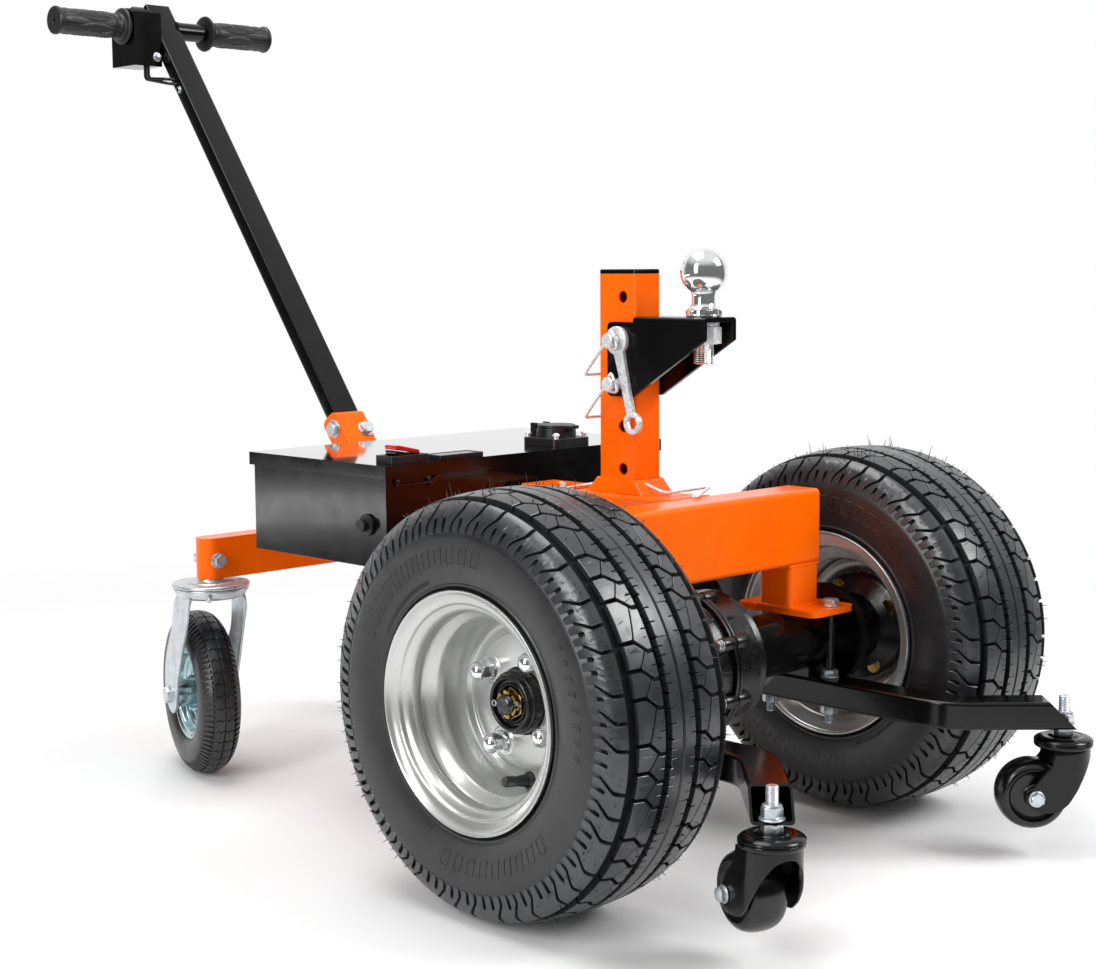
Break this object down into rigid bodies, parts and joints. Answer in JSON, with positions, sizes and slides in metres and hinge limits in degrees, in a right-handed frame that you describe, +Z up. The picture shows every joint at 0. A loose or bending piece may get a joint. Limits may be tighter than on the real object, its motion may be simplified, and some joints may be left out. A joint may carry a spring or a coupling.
{
  "type": "electric trailer dolly",
  "caption": "Walk-behind electric dolly that moves a parked trailer: driven wheels, swivel casters, a tow ball on a height-set mast, a battery box and a T-handle.",
  "frame": {"origin": "middle of the footprint, on the ground", "axes": "+Z up, -Y forward to the tow ball, +Y back to the operator at the handle, +X to the left of an operator facing -Y"},
  "size_m": [0.716, 1.3678, 1.0016],
  "materials": {
    "orange_powder_coat": "gloss orange powder coat",
    "black_powder_coat": "gloss black powder coat",
    "silver_paint": "silver wheel paint",
    "tyre_rubber": "moulded tyre rubber",
    "chrome_plate": "polished chrome plate",
    "zinc_plate": "bright zinc plate",
    "cast_housing": "cast, painted satin black",
    "hub_black": "black hub with zinc fasteners",
    "black_plastic": "moulded black plastic",
    "red_plastic": "red switch rocker",
    "grip_rubber": "grooved hand grip rubber",
    "cable_sheath": "black cable sheath",
    "battery_case": "battery case",
    "roller_plastic": "solid black roller"
  },
  "bodies": {
    "chassis": {"cross_beam": "orange_powder_coat", "beam_legs": "orange_powder_coat", "spine": "orange_powder_coat", "rear_bar": "orange_powder_coat", "handle_bracket": "orange_powder_coat", "mast": "orange_powder_coat", "mast_foot": "orange_powder_coat", "mast_cap": "black_powder_coat", "drive_motor": "black_powder_coat", "caster_arms": "black_powder_coat", "battery_box": "black_powder_coat", "lid_hinges": "black_powder_coat", "handle_pole": "black_powder_coat", "t_bar": "black_powder_coat", "control_box": "black_powder_coat", "ball_bracket": "black_powder_coat", "front_caster_caps": "black_powder_coat", "axle_housing": "black_powder_coat", "gear_housing": "cast_housing", "gear_cover": "cast_housing", "housing_bolts": "zinc_plate", "frame_bolts": "zinc_plate", "lock_pins": "zinc_plate", "rear_caster_plates": "zinc_plate", "front_caster_stems": "zinc_plate", "tow_ball": "chrome_plate", "ball_nut": "chrome_plate", "fixed_grip": "grip_rubber", "handle_cables": "cable_sheath", "batteries": "battery_case", "motor_controller": "black_plastic", "breaker_button": "black_plastic"},
    "drive_wheel_left": {"tyre_left": "tyre_rubber", "rim_left": "silver_paint", "hub_left": "hub_black", "lug_nuts_left": "chrome_plate"},
    "drive_wheel_right": {"tyre_right": "tyre_rubber", "rim_right": "silver_paint", "hub_right": "hub_black", "lug_nuts_right": "chrome_plate"},
    "rear_caster_left": {"rear_fork_left": "zinc_plate"},
    "rear_wheel_left": {"rear_tyre_left": "tyre_rubber", "rear_rim_left": "zinc_plate"},
    "rear_caster_right": {"rear_fork_right": "zinc_plate"},
    "rear_wheel_right": {"rear_tyre_right": "tyre_rubber", "rear_rim_right": "zinc_plate"},
    "front_caster_left": {"front_fork_left": "black_powder_coat"},
    "front_roller_left": {"front_wheel_left": "roller_plastic"},
    "front_caster_right": {"front_fork_right": "black_powder_coat"},
    "front_roller_right": {"front_wheel_right": "roller_plastic"},
    "lid": {"box_lid": "black_powder_coat", "lid_fittings": "black_plastic", "socket_base": "black_plastic"},
    "rocker": {"main_rocker": "red_plastic"},
    "socket_flap": {"socket_cap": "black_plastic"},
    "throttle": {"throttle_grip": "grip_rubber"},
    "direction_rocker": {"direction_switch": "black_plastic"},
    "upper_bail": {"bail_upper": "zinc_plate"},
    "lower_bail": {"bail_lower": "zinc_plate"},
    "hung_spanner": {"spanner": "chrome_plate"}
  },
  "joints": [
    {"name": "drive_left", "type": "hinge", "parent": "chassis", "child": "drive_wheel_left", "pos_m": [0.276, -0.36793, 0.2095], "axis": [1, 0, 0], "continuous": true},
    {"name": "drive_right", "type": "hinge", "parent": "chassis", "child": "drive_wheel_right", "pos_m": [-0.276, -0.36793, 0.2095], "axis": [1, 0, 0], "continuous": true},
    {"name": "rear_swivel_left", "type": "hinge", "parent": "chassis", "child": "rear_caster_left", "pos_m": [0.219, 0.24707, 0.2], "axis": [0, 0, 1], "continuous": true},
    {"name": "rear_roll_left", "type": "hinge", "parent": "rear_caster_left", "child": "rear_wheel_left", "pos_m": [0.20321, 0.29871, 0.102], "axis": [0.9563, 0.2924, 0], "continuous": true},
    {"name": "rear_swivel_right", "type": "hinge", "parent": "chassis", "child": "rear_caster_right", "pos_m": [-0.219, 0.24707, 0.2], "axis": [0, 0, 1], "continuous": true},
    {"name": "rear_roll_right", "type": "hinge", "parent": "rear_caster_right", "child": "rear_wheel_right", "pos_m": [-0.20321, 0.29871, 0.102], "axis": [0.9563, -0.2924, 0], "continuous": true},
    {"name": "front_swivel_left", "type": "hinge", "parent": "chassis", "child": "front_caster_left", "pos_m": [0.245, -0.65293, 0.11], "axis": [0, 0, 1], "continuous": true},
    {"name": "front_roll_left", "type": "hinge", "parent": "front_caster_left", "child": "front_roller_left", "pos_m": [0.22096, -0.62889, 0.069], "axis": [0.7071, 0.7071, 0], "continuous": true},
    {"name": "front_swivel_right", "type": "hinge", "parent": "chassis", "child": "front_caster_right", "pos_m": [-0.245, -0.65293, 0.11], "axis": [0, 0, 1], "continuous": true},
    {"name": "front_roll_right", "type": "hinge", "parent": "front_caster_right", "child": "front_roller_right", "pos_m": [-0.23337, -0.62098, 0.069], "axis": [0.9397, -0.342, 0], "continuous": true},
    {"name": "lid_hinge", "type": "hinge", "parent": "chassis", "child": "lid", "pos_m": [0, 0.16007, 0.3965], "axis": [-1, 0, 0], "range_deg": [0, 100]},
    {"name": "main_rocker_tilt", "type": "hinge", "parent": "lid", "child": "rocker", "pos_m": [-0.18, -0.07493, 0.4265], "axis": [0, 1, 0], "range_deg": [-18, 0]},
    {"name": "socket_flap_hinge", "type": "hinge", "parent": "lid", "child": "socket_flap", "pos_m": [0.084, -0.02193, 0.4378], "axis": [-1, 0, 0], "range_deg": [0, 110], "stiffness_Nm_per_rad": 0.02},
    {"name": "throttle_twist", "type": "hinge", "parent": "chassis", "child": "throttle", "pos_m": [-0.118, 0.64993, 0.9651], "axis": [-1, 0, 0], "range_deg": [0, 60], "stiffness_Nm_per_rad": 0.3},
    {"name": "direction_tilt", "type": "hinge", "parent": "chassis", "child": "direction_rocker", "pos_m": [-0.042, 0.65793, 0.9866], "axis": [1, 0, 0], "range_deg": [-12, 12]},
    {"name": "upper_bail_swing", "type": "hinge", "parent": "chassis", "child": "upper_bail", "pos_m": [0, -0.25993, 0.5495], "axis": [1, 0, 0], "range_deg": [0, 80]},
    {"name": "lower_bail_swing", "type": "hinge", "parent": "chassis", "child": "lower_bail", "pos_m": [0, -0.25993, 0.5025], "axis": [1, 0, 0], "range_deg": [0, 45]},
    {"name": "spanner_swing", "type": "hinge", "parent": "chassis", "child": "hung_spanner", "pos_m": [-0.029, -0.25993, 0.5495], "axis": [-1, 0, 0], "range_deg": [0, 90]}
  ]
}
